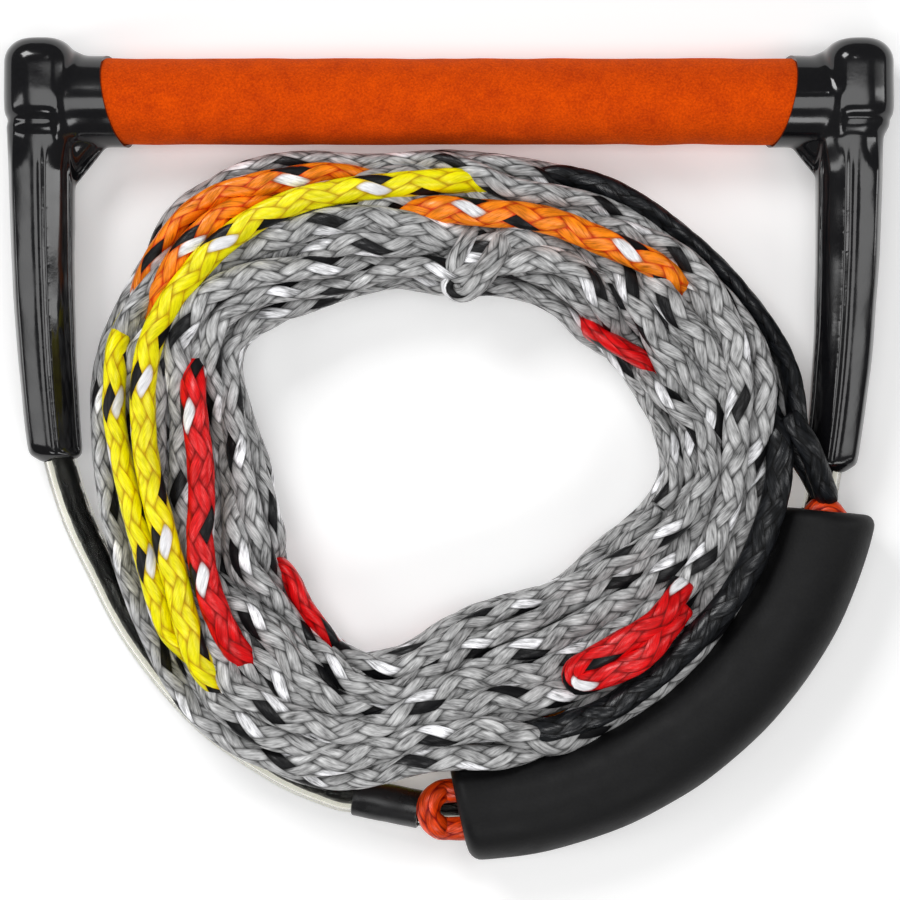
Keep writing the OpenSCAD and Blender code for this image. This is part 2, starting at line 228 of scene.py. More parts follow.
# ---- Foam grip ----
# A sleeve of fine-grained foam with a suede face, 32 mm across, pushed on to the tube. It is a
# little uneven, and its ends go into the guards' collars.
WELD = 0.005 * MM
grip_low, grip_high = (np.array(corner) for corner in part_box("grip_sleeve"))
grip_radius = (grip_high - grip_low)[2] / 2
grip_half = (grip_high - grip_low)[0] / 2


def unit(rows):
    """Rows scaled to a length of 1."""
    return rows / np.linalg.norm(rows, axis=1, keepdims=True)


def sweep(line, rows, sides):
    """A round skin along a line; rows hold a share of the line, a radius and a lean of the ring."""
    line, (share, radius, lean) = np.array(line, float), np.array(rows, float).T
    ahead = unit(np.gradient(line, axis=0))
    side = unit(np.cross(ahead, (0, 0, 1)))
    up = np.cross(side, ahead)
    shape = bmesh.new()
    bmesh.ops.create_grid(shape, x_segments=len(rows) - 1, y_segments=sides, size=0.5)
    spot = np.array([vert.co[:2] for vert in shape.verts]) + 0.5
    row = np.rint(spot[:, 0] * (len(rows) - 1)).astype(int)
    turn = 2 * np.pi * spot[:, 1]
    at = share[row] * (len(line) - 1)
    i = np.clip(at.astype(int), 0, len(line) - 2)
    t = (at - i)[:, None]
    middle, on, across, above = ((v[i] * (1 - t) + v[i + 1] * t) for v in (line, ahead, side, up))
    out = radius[row, None]
    cosine, sine = np.cos(turn)[:, None], np.sin(turn)[:, None]
    points = middle + out * (cosine * (across + lean[row, None] * on) + sine * above)
    for vert, point in zip(shape.verts, points):
        vert.co = point
    bmesh.ops.remove_doubles(shape, verts=shape.verts[:], dist=WELD)
    bmesh.ops.recalc_face_normals(shape, faces=shape.faces[:])
    return shape


def uneven(shape, size, depth, keep=None):
    """Moves a skin's points in and out a little, as hand-made or soft things are."""
    shape.normal_update()
    for vert in shape.verts:
        if keep is None or keep(vert.co):
            vert.co += vert.normal * depth * noise.noise(vert.co / size)


def add_piece(name, shape, finish, node, body="handle"):
    """A smooth-shaded piece on its body, from a bmesh or a mesh, in place of a node of the frame."""
    mesh = mesh_of(name, shape) if isinstance(shape, bmesh.types.BMesh) else shape
    mesh.polygons.foreach_set("use_smooth", [True] * len(mesh.polygons))
    mesh.materials.clear()
    mesh.materials.append(finish)
    piece = linked(name, mesh)
    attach(piece, body)
    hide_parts(node)
    return piece


def tube_rows(length, outer, bore, edge, count, leans=(0, 0)):
    """Rows of a tube's skin, out over it and back through its bore; its ends lean by leans."""
    bend = [math.pi / 2 * k / 5 for k in range(6)]
    rows = [(0, bore)]
    rows += [(edge - edge * math.cos(a), outer - edge + edge * math.sin(a)) for a in bend]
    rows += [(edge + (length - 2 * edge) * k / count, outer) for k in range(1, count)]
    rows += [(length - edge + edge * math.sin(a), outer - edge + edge * math.cos(a)) for a in bend]
    rows += [(length * (1 - k / count), bore) for k in range(count + 1)]
    fade = 0.3 * length
    first, last = leans

    def lean(along):
        return first * max(0, 1 - along / fade) + last * max(0, 1 - (length - along) / fade)

    return [(along / length, radius, lean(along)) for along, radius in rows]


def on_bar(x):
    """A point on the bar's axis."""
    return (x, bar_middle[1], bar_middle[2])


suede_foam = grained(
    "suede_foam", (0.84, 0.086, 0.0012), (0.50, 0.038, 0.0006), 0.8 * MM, 9 * MM, (0.85, 1.0), 0.2 * MM,
    Sheen_Weight=0.1, Sheen_Roughness=0.6, Sheen_Tint=(1.0, 0.45, 0.1, 1), Specular_IOR_Level=0.06,
)
grip_shape = sweep(
    [on_bar(-grip_half), on_bar(grip_half)],
    tube_rows(2 * grip_half, grip_radius, tube_radius, 1 * MM, 190), 96,
)
uneven(
    grip_shape, 14 * MM, 0.35 * MM,
    lambda spot: math.hypot(spot.y - bar_middle[1], spot.z - bar_middle[2]) > grip_radius - 0.5 * MM,
)
add_piece("foam_grip", grip_shape, suede_foam, "grip_sleeve")

# ---- End plugs ----
# A moulded plug closes each end of the tube, so that the guard's vinyl can't run into it.
TUBE_WALL = 1.6 * MM
PLUG_FLANGE = 1.6 * MM
PLUG_GRIP = 2.6 * MM
ALONG_BAR = Matrix.Rotation(math.pi / 2, 4, "Y")
moulded_plastic = grained(
    "moulded_plastic", (0.016, 0.016, 0.018), (0.010, 0.010, 0.011), 0.3 * MM, 5 * MM, (0.45, 0.6), 0.03 * MM
)
for side, name in ((-1, "left"), (1, "right")):
    plug = bmesh.new()
    for radius, depth, out in (
        (tube_radius, PLUG_FLANGE, PLUG_FLANGE / 2),
        (tube_radius - TUBE_WALL, PLUG_GRIP, -PLUG_GRIP / 2),
    ):
        place = Matrix.Translation(on_bar(side * (tube_half + out))) @ ALONG_BAR
        bmesh.ops.create_cone(
            plug, cap_ends=True, segments=64, radius1=radius, radius2=radius, depth=depth, matrix=place
        )
    rim = [edge for edge in plug.edges if edge.calc_face_angle(0) > 1]
    bmesh.ops.bevel(
        plug, geom=rim, offset=0.3 * MM, offset_type="OFFSET", segments=2, profile=0.5,
        affect="EDGES", material=-1,
    )
    add_piece("end_plug_%s_moulding" % name, plug, moulded_plastic, "end_plug_" + name)

# ---- Bridle rope ----
# A hollow braid of twelve flat polyethylene yarns, six to the left and six to the right, each over
# two and under two. It is knotted inside the bar's ends and runs from guard to guard.
YARNS = 6
BRAID_PITCH = 60 * MM
WAVE_SHARE = 0.55
WAVE_POWER = 0.35
DOME_SHARE = 0.35
DOME_POWER = 0.5
MEAN_HEIGHT = 0.6
ROPE_SIDES = 28
RELIEF = 0.6 * MM
LINE_SPACING = 1.2
BRIDLE_WIDTH = 7.7 * MM
BRIDLE_RELIEF = 0.5 * MM
BRIDLE_SHIFT = 0.9 * MM
KNOT_WIDTH = 7 * MM
KNOT_POINTS = 8


def braid_relief(around, along):
    """How high the braid's surface is, 0 to 1, at turns around the rope and pitches along it."""
    right = YARNS * (around + along)
    left = YARNS * (around - along)
    i, j = np.floor(right), np.floor(left)
    heights = []
    for across, crossing in ((right - i, left - i), (left - j, right - j - 3)):
        dome = 1 - (2 * across - 1) ** 2
        wave = np.cos(np.pi / 2 * crossing).clip(0)
        heights.append(WAVE_SHARE * wave ** WAVE_POWER + DOME_SHARE * dome ** DOME_POWER)
    return np.maximum(*heights) / (WAVE_SHARE + DOME_SHARE)


def evaluated(maker):
    """The mesh that a curve, or a mesh with modifiers, comes out as."""
    bpy.context.view_layer.update()
    return bpy.data.meshes.new_from_object(maker.evaluated_get(bpy.context.evaluated_depsgraph_get()))


def rope_mesh(name, line, width, thickness, roll=0.0, relief=RELIEF, sides=ROPE_SIDES):
    """A braided tube along line, in metres, its flat side rolled by roll at each point."""
    line = np.asarray(line, float)
    flat = bpy.data.curves.new(name + "_section", "CURVE")
    ring = flat.splines.new("POLY")
    ring.points.add(sides - 1)
    ring.use_cyclic_u = True
    for k, point in enumerate(ring.points):
        turn = 2 * math.pi * k / sides
        point.co = (width / 2 * math.cos(turn), thickness / 2 * math.sin(turn), 0, 1)
    section = linked(name + "_section", flat)
    curve = bpy.data.curves.new(name + "_line", "CURVE")
    curve.dimensions = "3D"
    curve.twist_mode = "Z_UP"
    curve.bevel_mode = "OBJECT"
    curve.bevel_object = section
    path = curve.splines.new("POLY")
    path.points.add(len(line) - 1)
    path.points.foreach_set("co", np.hstack([line, np.ones((len(line), 1))]).ravel())
    path.points.foreach_set("tilt", np.broadcast_to(np.asarray(roll, float), len(line)).copy())
    tube = linked(name + "_line", curve)
    mesh = evaluated(tube)
    for maker in (section, tube):
        bpy.data.objects.remove(maker)
    mesh.name = name

    # The yarns stand out of the tube, and the UV map runs round it and along it.
    lengths = np.linalg.norm(np.diff(line, axis=0), axis=1)
    along = np.concatenate([[0], np.cumsum(lengths)]) / BRAID_PITCH
    around = np.arange(sides) / sides
    points = np.zeros(len(mesh.vertices) * 3, np.float32)
    mesh.vertices.foreach_get("co", points)
    points = points.reshape(len(line), sides, 3)
    out = points - line[:, None, :]
    reach = np.linalg.norm(out, axis=2, keepdims=True)
    rise = relief * (braid_relief(around[None, :], along[:, None]) - MEAN_HEIGHT)
    points += out / reach * rise[:, :, None]
    mesh.vertices.foreach_set("co", points.ravel())
    corner = np.zeros(len(mesh.loops), np.int32)
    mesh.loops.foreach_get("vertex_index", corner)
    side = (corner % sides).reshape(-1, 4)
    wraps = (side.max(axis=1) - side.min(axis=1)) > 1
    side = np.where(wraps[:, None] & (side == 0), sides, side).ravel()
    uv = np.stack([side / sides, along[corner // sides]], axis=1)
    mesh.uv_layers[0].data.foreach_set("uv", uv.ravel())
    ends = bmesh.new()
    ends.from_mesh(mesh)
    bmesh.ops.holes_fill(ends, edges=ends.edges[:], sides=0)
    ends.to_mesh(mesh)
    ends.free()
    return mesh


def between(a, b, c, d, t):
    """A smooth curve from b to c at t, 0 to 1, with a before them and d after them."""
    bend = (2 * a - 5 * b + 4 * c - d) * t * t
    return 0.5 * (2 * b + (c - a) * t + bend + (3 * b - a - 3 * c + d) * t ** 3)


def spline(points):
    """A smooth line through points in millimetres, as metres, at an even spacing."""
    points = np.array(points, float)
    last = len(points) - 1
    at = np.linspace(0, last, 24 * last + 1)
    i = np.minimum(at.astype(int), last - 1)
    t = (at - i)[:, None]
    a, b, c, d = (points[np.clip(i + k, 0, last)] for k in (-1, 0, 1, 2))
    fine = between(a, b, c, d, t)
    run = np.concatenate([[0], np.cumsum(np.linalg.norm(np.diff(fine, axis=0), axis=1))])
    even = np.linspace(0, run[-1], int(run[-1] / LINE_SPACING) + 1)
    return np.stack([np.interp(even, run, fine[:, k]) for k in range(3)], axis=1) * MM


def make_braid():
    """The braid's colour, with painted shade in the gaps between yarns, and its roughness, gloss and height,
    from the rope's own UV map.
    """
    inputs = {"Yarn": "Color", "Shade": "Color", "Tracer A": "Color", "Tracer B": "Color"}
    inputs.update({"Tracers": "Float", "Fibre": "Float"})
    outputs = {"Color": "Color", "Roughness": "Float", "Gloss": "Float", "Height": "Float"}
    group = group_of("braided_yarns", inputs, outputs)
    place, run = nodes_of(group), maths(group)
    given = place("NodeGroupInput").outputs
    uv = place("ShaderNodeUVMap", uv_map="UVMap").outputs[0]
    split = place("ShaderNodeSeparateXYZ", {0: uv}).outputs
    right = run("MULTIPLY", run("ADD", split[0], split[1]), float(YARNS))
    left = run("MULTIPLY", run("SUBTRACT", split[0], split[1]), float(YARNS))
    right_cell, left_cell = run("FLOOR", right), run("FLOOR", left)
    right_part, left_part = run("FRACT", right), run("FRACT", left)

    def height_of(across, crossing):
        centred = run("SUBTRACT", run("MULTIPLY", across, 2.0), 1.0)
        dome = run("POWER", run("SUBTRACT", 1.0, run("MULTIPLY", centred, centred)), DOME_POWER)
        wave = run("MAXIMUM", run("COSINE", run("MULTIPLY", crossing, math.pi / 2)), 0.0)
        wave = run("POWER", wave, WAVE_POWER)
        return run("ADD", run("MULTIPLY", wave, WAVE_SHARE), run("MULTIPLY", dome, DOME_SHARE))

    right_height = height_of(right_part, run("SUBTRACT", left, right_cell))
    left_height = height_of(left_part, run("SUBTRACT", run("SUBTRACT", right, left_cell), 3.0))
    on_right = run("GREATER_THAN", right_height, left_height)
    height = run("MAXIMUM", right_height, left_height)

    def pick(when_right, when_left):
        mix = place("ShaderNodeMix", {0: on_right, 2: when_left, 3: when_right}, data_type="FLOAT")
        return mix.outputs[0]

    across = pick(right_part, left_part)
    yarn = pick(
        run("FLOORED_MODULO", right_cell, float(YARNS)),
        run("ADD", run("FLOORED_MODULO", left_cell, float(YARNS)), float(YARNS)),
    )

    # Fibres run along each yarn, and each yarn has its own tone. The lighter streaks are partly the yarns'
    # own colour and partly painted glints.
    def streaks(fibres, length, own, detail):
        scaled = (run("MULTIPLY", *pair) for pair in ((across, fibres), (split[1], length), (yarn, own)))
        spot = place("ShaderNodeCombineXYZ", dict(enumerate(scaled))).outputs[0]
        values = {"Vector": spot, "Scale": 1.0, "Detail": detail, "Roughness": 0.65}
        return run("SUBTRACT", place("ShaderNodeTexNoise", values).outputs[0], 0.5)

    coarse = streaks(3.2, 8.0, 7.3, 3.0)
    fine = streaks(9.0, 14.0, 3.1, 2.0)
    tone = streaks(0.6, 9.0, 11.7, 1.0)
    fibre = run("ADD", run("ADD", run("MULTIPLY", coarse, 1.5), run("MULTIPLY", fine, 1.4)), tone)
    fibre = run("MULTIPLY", fibre, given["Fibre"])

    # Two tracer yarns, a black one and a white one side by side, are in the right-hand set.
    is_a = run("MULTIPLY", run("COMPARE", yarn, 0.0, 0.1), given["Tracers"])
    is_b = run("MULTIPLY", run("COMPARE", yarn, 1.0, 0.1), given["Tracers"])

    def blend(share, first, second, **settings):
        mix = place("ShaderNodeMix", {0: share, 6: first, 7: second}, data_type="RGBA", **settings)
        return mix.outputs[2]

    body = blend(is_b, blend(is_a, given["Yarn"], given["Tracer A"]), given["Tracer B"])
    # Painted shade: where the braid's surface is low, between and under the yarns, its colour is darkened
    # towards the painted shade colour.
    deep = place("ShaderNodeMapRange", {0: height, 1: 0.48, 2: 0.76, 3: 1.0, 4: 0.0}).outputs[0]
    body = blend(deep, body, given["Shade"], blend_type="MULTIPLY")
    # The fibre streaks lighten and darken the colour: partly the yarns' own streaks, partly painted glints of
    # light along them.
    streak_and_glint = run("MAXIMUM", run("ADD", 1.0, fibre), 0.05)
    streak_and_glint = place("ShaderNodeCombineColor", {0: streak_and_glint, 1: streak_and_glint, 2: streak_and_glint}).outputs[0]
    body = blend(1.0, body, streak_and_glint, blend_type="MULTIPLY")
    rough = run("SUBTRACT", 0.38, run("MULTIPLY", fibre, 0.25))
    gloss = run("MULTIPLY", run("SUBTRACT", 1.0, deep), run("ADD", 0.3, fibre))
    gloss = run("MULTIPLY", gloss, run("SUBTRACT", 1.0, run("MULTIPLY", is_a, 0.6)))
    gloss = run("MINIMUM", run("MAXIMUM", gloss, 0.02), 1.0)
    total = run("ADD", height, run("MULTIPLY", fibre, 0.2))
    place("NodeGroupOutput", {"Color": body, "Roughness": rough, "Gloss": gloss, "Height": total})
    return group


braided_yarns = make_braid()
BLACK_TRACER = (0.006, 0.006, 0.007, 1)
WHITE_TRACER = (0.86, 0.86, 0.88, 1)


def rope_finish(name, yarn, painted_shade, tracers=0.0, fibre=1.0):
    """Polyethylene yarns with the sheen of drawn film, plain or with two tracers; the colour holds painted
    shade between the yarns and painted glints along them.
    """
    finish, tree, shader = new_finish(name)
    place = nodes_of(tree)
    values = {"Yarn": (*yarn, 1), "Shade": (*painted_shade, 1), "Tracer A": BLACK_TRACER, "Tracer B": WHITE_TRACER}
    values.update({"Tracers": tracers, "Fibre": fibre})
    braid = place("ShaderNodeGroup", values, node_tree=braided_yarns)
    values = {"Height": braid.outputs["Height"], "Strength": 0.7, "Distance": RELIEF}
    bump = place("ShaderNodeBump", values)
    feed(tree, shader, {"Base Color": braid.outputs["Color"], "Roughness": braid.outputs["Roughness"]})
    feed(tree, shader, {"Coat Weight": braid.outputs["Gloss"], "Normal": bump.outputs[0]})
    feed(tree, shader, {"Coat Roughness": 0.26, "Specular IOR Level": 0.15})
    return finish


black_rope = rope_finish("black_braid", (0.007, 0.008, 0.010), (0.05, 0.05, 0.06), fibre=1.6)

# The route of the bridle: from each knot down the leg, and along the ground or the float's bend.
bend_middle = np.array([3, 6.5])
BEND_RADIUS = 140
FLOAT_FROM = -91


def on_bend(angle, out, up):
    """A point beside the float's axis, in millimetres."""
    turn = math.radians(angle)
    return (
        bend_middle[0] + (BEND_RADIUS + out) * math.cos(turn),
        bend_middle[1] + (BEND_RADIUS + out) * math.sin(turn),
        up,
    )


SLEEVE_AT = FLOAT_FROM - 9.6
sleeve_turn = math.radians(SLEEVE_AT)
sleeve_middle = np.array(on_bend(SLEEVE_AT, 0.7, 11.4))
sleeve_axis = np.array([-math.sin(sleeve_turn), math.cos(sleeve_turn), 0.13])
sleeve_axis /= np.linalg.norm(sleeve_axis)
SLEEVE_HALF = 12.5


def ease(t):
    """A smooth step from 0 to 1."""
    t = min(1, max(0, t))
    return t * t * (3 - 2 * t)


def right_out(angle):
    """How far the right run lies inside the bend's axis."""
    return -2.2 * ease((angle + 60) / 40)


left_route = [
    (-148, 129.5, 19), (-146.8, 16.9, 15.5), (-145.6, 4.9, 14.7), (-144.8, -4.5, 14),
    (-139, -24, 11), (-131, -42, 7.5), (-116, -70, 6.4), (-92, -99, 6.4), (-64, -119, 6.5),
    sleeve_middle - sleeve_axis * (SLEEVE_HALF + 8), sleeve_middle - sleeve_axis * SLEEVE_HALF, sleeve_middle,
]
right_route = (
    [sleeve_middle, sleeve_middle + sleeve_axis * SLEEVE_HALF]
    + [on_bend(angle, right_out(angle), 13.4) for angle in range(-92, -11, 5)]
    + [(140.2, -8.5, 14), (141.6, 1.2, 14.7), (143.05, 13.6, 15.5), (148, 129.5, 19)]
)
left_line, right_line = spline(left_route), spline(right_route)


def trefoil(t):
    """A point of a tight overhand knot, in millimetres about its middle."""
    return (
        1.5 * (math.sin(t) + 2 * math.sin(2 * t)),
        1.5 * (math.cos(t) - 2 * math.cos(2 * t)),
        -2.6 * math.sin(3 * t),
    )


for name, line, middle in (
    ("left", left_line[KNOT_POINTS:], left_route[0]),
    ("right", right_line[:-KNOT_POINTS], right_route[-1]),
):
    line = line + BRIDLE_SHIFT * unit(np.cross((0, 0, 1), np.gradient(line, axis=0)))
    rope = rope_mesh("bridle_rope_" + name, line, BRIDLE_WIDTH, BRIDLE_WIDTH, relief=BRIDLE_RELIEF, sides=20)
    add_piece("bridle_rope_%s_braid" % name, rope, black_rope, "bridle_rope_" + name)
    turns = [np.add(middle, trefoil(math.radians(angle))) for angle in range(0, 361, 12)]
    knot = rope_mesh("knot_" + name, spline(turns), KNOT_WIDTH, KNOT_WIDTH, sides=20)
    add_piece("stopper_knot_" + name, knot, black_rope, "bridle_knot_" + name)

# ---- Guards ----
# Each end of the bar is dipped in thick black vinyl over a former: a boss round the tube's end, a
# collar over the grip, a web in the corner, and a long leg that keeps the rope off the rider.
BOSS_TOP = 23
BOSS_WIDTH = 27
BOSS_THICK = 38
BOSS_ROUND = 9
COLLAR_RADIUS = 17.1
COLLAR_LENGTH = 46
COLLAR_MIDDLE = 31
COLLAR_MOUTH = 41.8
SHOULDER_RADIUS = 21.5
SHOULDER_LENGTH = 10
SHOULDER_MIDDLE = 25
SHOULDER_FLATTENING = 0.86
LEG_LEAN = {-1: 5, 1: 7}
LEG_ROOT = {-1: 13.7, 1: 16.3}
LEG_WIDTH = (26, 20)
LEG_THICK = (29, 17)
LEG_START = 0.095
LEG_ROWS = 43
LEG_FALL = 5
NOSE = 4.5
CORNER = 0.68
FACE_POWER = 2.94
FACE_ROOT = 0.34
VOXEL = 0.52 * MM
ROPE_BORE = 4.8 * MM
HOSE_SOCKET = 6.3 * MM
SOCKET_TOP = {-1: 17.0, 1: 13.7}


def leg_section(side, t):
    """The leg's middle across, its width and its thickness at a share t of its length."""
    width, thick = (top * (1 - t) + foot * t for top, foot in (LEG_WIDTH, LEG_THICK))
    return LEG_ROOT[side] + LEG_LEAN[side] * max(0, t) ** 3, width, thick


def guard_rows(side, length):
    """The guard's sections from its top down: middle across, place down, middle height, half sizes."""
    rows = []
    for angle in range(4, 91, 9):
        inset = BOSS_ROUND * (1 - math.sin(math.radians(angle)))
        drop = BOSS_ROUND * (1 - math.cos(math.radians(angle)))
        rows.append((BOSS_WIDTH / 2, BOSS_TOP - drop, 0, BOSS_WIDTH / 2 - inset, BOSS_THICK / 2 - inset))
    rows.append((BOSS_WIDTH / 2, 2, 0, BOSS_WIDTH / 2, BOSS_THICK / 2))
    rows.append((BOSS_WIDTH / 2, -3, 0, BOSS_WIDTH / 2, BOSS_THICK / 2 - 0.6))
    rows.append((BOSS_WIDTH / 2 + 0.2, -8, 0, BOSS_WIDTH / 2 - 0.4, BOSS_THICK / 2 - 2.6))
    for k in range(LEG_ROWS + 1):
        t = LEG_START + (1 - LEG_START) * k / LEG_ROWS
        nose = max(0, (t - 1) * length + NOSE)
        inset = NOSE - math.sqrt(max(0, NOSE ** 2 - nose ** 2))
        middle, width, thick = leg_section(side, t)
        rows.append((middle, -length * t, -LEG_FALL * t * t, width / 2 - inset, thick / 2 - inset))
    return rows


def join(shape, other):
    """Adds another bmesh's faces to a shape and frees it."""
    part = mesh_of("part", other)
    shape.from_mesh(part)
    bpy.data.meshes.remove(part)


def block(shape, rows, sides, place):
    """A closed skin through rounded rectangles, each put where place says."""
    loft = bmesh.new()
    bmesh.ops.create_grid(loft, x_segments=len(rows) - 1, y_segments=sides, size=0.5)
    for vert in loft.verts:
        across, down, up, wide, thick = rows[round((vert.co.x + 0.5) * (len(rows) - 1))]
        c, s = math.cos(2 * math.pi * vert.co.y), math.sin(2 * math.pi * vert.co.y)
        out = math.copysign(abs(c) ** CORNER, c), math.copysign(abs(s) ** CORNER, s)
        vert.co = place(across + wide * out[0], down, up + thick * out[1])
    bmesh.ops.remove_doubles(loft, verts=loft.verts[:], dist=WELD)
    bmesh.ops.holes_fill(loft, edges=loft.edges[:], sides=0)
    bmesh.ops.recalc_face_normals(loft, faces=loft.faces[:])
    join(shape, loft)


def applied(shape, *modifiers):
    """A bmesh's shape after modifiers, each a type and its settings."""
    mesh = bpy.data.meshes.new("work")
    shape.to_mesh(mesh)
    work = linked("work", mesh)
    for kind, settings in modifiers:
        modifier = work.modifiers.new(kind.lower(), kind)
        for key, value in settings.items():
            setattr(modifier, key, value)
    done = evaluated(work)
    bpy.data.objects.remove(work)
    shape.clear()
    shape.from_mesh(done)
    bpy.data.meshes.remove(done)
    return shape


def rod_between(a, b, radius, segments):
    """A cutter: a solid cylinder from a to b, in metres."""
    a, b = Vector(a), Vector(b)
    turned = (b - a).to_track_quat("Z", "Y").to_matrix().to_4x4()
    rod = bmesh.new()
    bmesh.ops.create_cone(
        rod, cap_ends=True, segments=segments, radius1=radius, radius2=radius, depth=(b - a).length,
        matrix=Matrix.Translation((a + b) / 2) @ turned,
    )
    return rod


def cut_away(shape, cutter):
    """Takes a cutter's shape out of another."""
    tool = linked("cutter", mesh_of("cutter", cutter))
    applied(shape, ("BOOLEAN", {"operation": "DIFFERENCE", "object": tool, "solver": "MANIFOLD"}))
    bpy.data.objects.remove(tool)


def moulded(side, length, place):
    """Boss, leg, collar, shoulder and web, run into one smooth skin."""
    shape = bmesh.new()
    block(shape, guard_rows(side, length), 64, place)
    for across, depth, ends, flat in (
        (COLLAR_MIDDLE, COLLAR_LENGTH, (COLLAR_RADIUS, COLLAR_RADIUS), 1),
        (SHOULDER_MIDDLE, SHOULDER_LENGTH, (SHOULDER_RADIUS, COLLAR_RADIUS)[::-side], SHOULDER_FLATTENING),
    ):
        turned = Matrix.Diagonal((1, 1, flat, 1)) @ ALONG_BAR
        bmesh.ops.create_cone(
            shape, cap_ends=True, segments=96, radius1=ends[0] * MM, radius2=ends[1] * MM,
            depth=depth * MM, matrix=Matrix.Translation(place(across, 0, 0)) @ turned,
        )
    web = bmesh.new()
    for across, down, radius in ((21, -25, 8), (34, -9.5, 7.5)):
        bmesh.ops.create_icosphere(
            web, subdivisions=4, radius=radius * MM, matrix=Matrix.Translation(place(across, down, 0))
        )
    hull = bmesh.ops.convex_hull(web, input=web.verts[:])
    inside = [item for item in hull["geom_interior"] if isinstance(item, bmesh.types.BMVert)]
    bmesh.ops.delete(web, geom=inside, context="VERTS")
    join(shape, web)
    skin = {"mode": "VOXEL", "voxel_size": VOXEL}
    return applied(shape, ("REMESH", skin), ("SMOOTH", {"factor": 0.5, "iterations": 36}))


def bell(x, middle, width):
    """A bell curve, 1 high, about middle."""
    return math.exp(-((x - middle) / width) ** 2)


dipped_vinyl = grained(
    "dipped_vinyl", (0.007, 0.007, 0.008), (0.004, 0.004, 0.005), 1.2 * MM, 18 * MM, (0.08, 0.17), 0.012 * MM,
    Specular_IOR_Level=0.55,
)


def mark(shape, side, outer, length):
    """The former's two ribs show through the leg, and the vinyl has settled in soft waves."""
    shape.normal_update()
    for vert in shape.verts:
        across = side * (outer - vert.co.x / MM)
        t = (bar_middle[1] / MM - vert.co.y / MM) / length
        middle, width, thick = leg_section(side, t)
        s = (across - middle) / (width / 2)
        on_leg = ease((t - 0.10) / 0.10) * ease((0.985 - t) / 0.03)
        face = ease((vert.normal.z - 0.2) / 0.5)
        groove = -0.5 * bell(s, 0.05, 0.08)
        ridge = 0.5 * bell(s, 0.19, 0.09) + 0.2 * bell(s, -0.10, 0.09)
        dome = 1 - (1 - min(1, abs(s)) ** FACE_POWER) ** FACE_ROOT
        flat = thick / 2 * dome * ease((s + 1.0) / 0.25) * (s < 0) * 0.9
        fall = -2.5 * (math.hypot(s - 0.17, 0.08) + s - 0.17)
        vert.co.z += (groove + ridge + flat + fall) * on_leg * face * MM
        crease = -0.8 * bell(t * length, 7.5, 1.6)
        vert.co += vert.normal * crease * ease((22 - across) / 6) * MM
        vert.co += vert.normal * noise.noise(vert.co / (16 * MM)) * 0.25 * MM
    applied(shape, ("SMOOTH", {"factor": 0.5, "iterations": 8}))


def bores(side, foot):
    """Cutters for the grip, the tube, the bridle rope and, down to the leg's foot, its hose."""
    line = left_line if side < 0 else right_line[::-1]
    socket = Vector(min(line, key=lambda spot: abs(spot[1] - SOCKET_TOP[side] * MM)))
    mouth = Vector(min(line, key=lambda spot: abs(spot[1] - foot * MM)))
    return [
        rod_between(on_bar(0), on_bar(side * grip_half), grip_radius + 0.1 * MM, 96),
        rod_between(on_bar(0), on_bar(side * (tube_half + PLUG_FLANGE)), tube_radius + 0.05 * MM, 96),
        rod_between(line[0], socket, ROPE_BORE, 32),
        rod_between(socket, mouth + (mouth - socket).normalized() * 4 * MM, HOSE_SOCKET, 48),
    ]


def make_guard(side, name):
    """The guard of one end: moulded, marked, cut aslant at the collar's mouth, and bored."""
    low, high = (np.array(corner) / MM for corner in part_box("guard_" + name))
    outer = high[0] if side > 0 else low[0]
    axis_y, axis_z = bar_middle[1] / MM, bar_middle[2] / MM

    def place(across, down, up):
        return Vector((outer - side * across, axis_y + down, axis_z + up)) * MM

    shape = moulded(side, axis_y - low[1], place)
    mark(shape, side, outer, axis_y - low[1])
    slab = bmesh.new()
    normal = Vector((-side * 1.0, 0.206, 0.244)).normalized()
    turned = normal.to_track_quat("Z", "Y").to_matrix().to_4x4()
    centre = place(COLLAR_MOUTH, 0, 0) + normal * 20 * MM
    bmesh.ops.create_cube(
        slab, size=1, matrix=Matrix.Translation(centre) @ turned @ Matrix.Diagonal((0.12, 0.12, 0.04, 1))
    )
    for cutter in [slab] + bores(side, low[1]):
        cut_away(shape, cutter)
    for edge in shape.edges:
        edge.smooth = edge.calc_face_angle(0) < math.radians(38)
    add_piece("dipped_guard_" + name, shape, dipped_vinyl, "guard_" + name)


make_guard(-1, "left")
make_guard(1, "right")

# ---- Clear hose ----
# Clear vinyl hose over the bridle rope, from a socket in each guard's leg to the bend. It has gone
# a little yellow and milky, and it stops the bridle from snagging.
HOSE_RADIUS = 6.2 * MM
HOSE_BORE = 4.8 * MM
clear_vinyl = grained(
    "clear_vinyl", (0.98, 0.98, 0.94), (0.93, 0.92, 0.84), 0.5 * MM, 12 * MM, (0.05, 0.14), 0.01 * MM,
    Transmission_Weight=1.0, IOR=1.09, Specular_IOR_Level=0.5,
)


def cut_line(line, start, end):
    """The stretch of a line from the point nearest start to the one nearest end, in millimetres."""
    first = np.argmin(np.linalg.norm(line - np.array(start) * MM, axis=1))
    last = np.argmin(np.linalg.norm(line - np.array(end) * MM, axis=1))
    return line[first:last + 1]


for name, line in (
    ("left", cut_line(left_line, (-146.8, 16.9, 15.5), sleeve_middle - sleeve_axis)),
    ("right", cut_line(right_line, sleeve_middle + sleeve_axis, (143.05, 13.6, 15.5))),
):
    length = np.linalg.norm(np.diff(line, axis=0), axis=1).sum()
    shape = sweep(line, tube_rows(length, HOSE_RADIUS, HOSE_BORE, 0.4 * MM, 130), 32)
    add_piece("clear_hose_" + name, shape, clear_vinyl, "bridle_hose_" + name)

